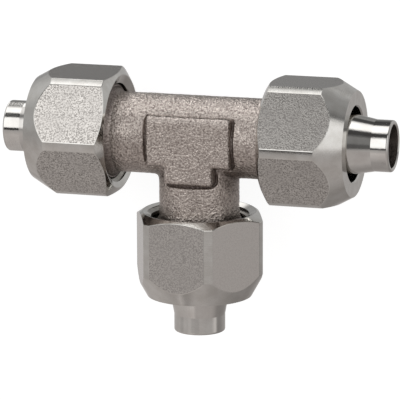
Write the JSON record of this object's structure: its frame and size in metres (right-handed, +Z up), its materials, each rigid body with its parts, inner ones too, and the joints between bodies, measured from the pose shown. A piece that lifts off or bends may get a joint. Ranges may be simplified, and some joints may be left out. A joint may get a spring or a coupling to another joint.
{
  "type": "hose tee connector",
  "caption": "Nickel-plated brass push-on tee for soft hose: a forged body with spigots, each with a hexagon union nut that clamps the hose.",
  "frame": {"origin": "on the surface it lies on, under the middle of the whole fitting's box", "axes": "+X along the run towards the right nut, -Y along the branch, +Z up out of the front pad"},
  "size_m": [0.0466, 0.0306, 0.0156],
  "materials": {
    "blasted_nickel": "shot-blasted and nickel plated, turned and bright at the hose ends",
    "turned_nickel": "turned, nickel plated, satin"
  },
  "bodies": {
    "tee": {"tee_body": "blasted_nickel"},
    "left_union": {"left_nut": "turned_nickel"},
    "right_union": {"right_nut": "turned_nickel"},
    "branch_union": {"branch_nut": "turned_nickel"}
  },
  "joints": [
    {"name": "left_nut_turn", "type": "hinge", "parent": "tee", "child": "left_union", "pos_m": [-0.00954, 0.008, 0.00781], "axis": [-1, 0, 0], "range_deg": [-300, 1950]},
    {"name": "right_nut_turn", "type": "hinge", "parent": "tee", "child": "right_union", "pos_m": [0.00869, 0.008, 0.00781], "axis": [1, 0, 0], "range_deg": [0, 2250]},
    {"name": "branch_nut_turn", "type": "hinge", "parent": "tee", "child": "branch_union", "pos_m": [0, -0.00091, 0.00781], "axis": [0, -1, 0], "range_deg": [-72, 2190]}
  ]
}
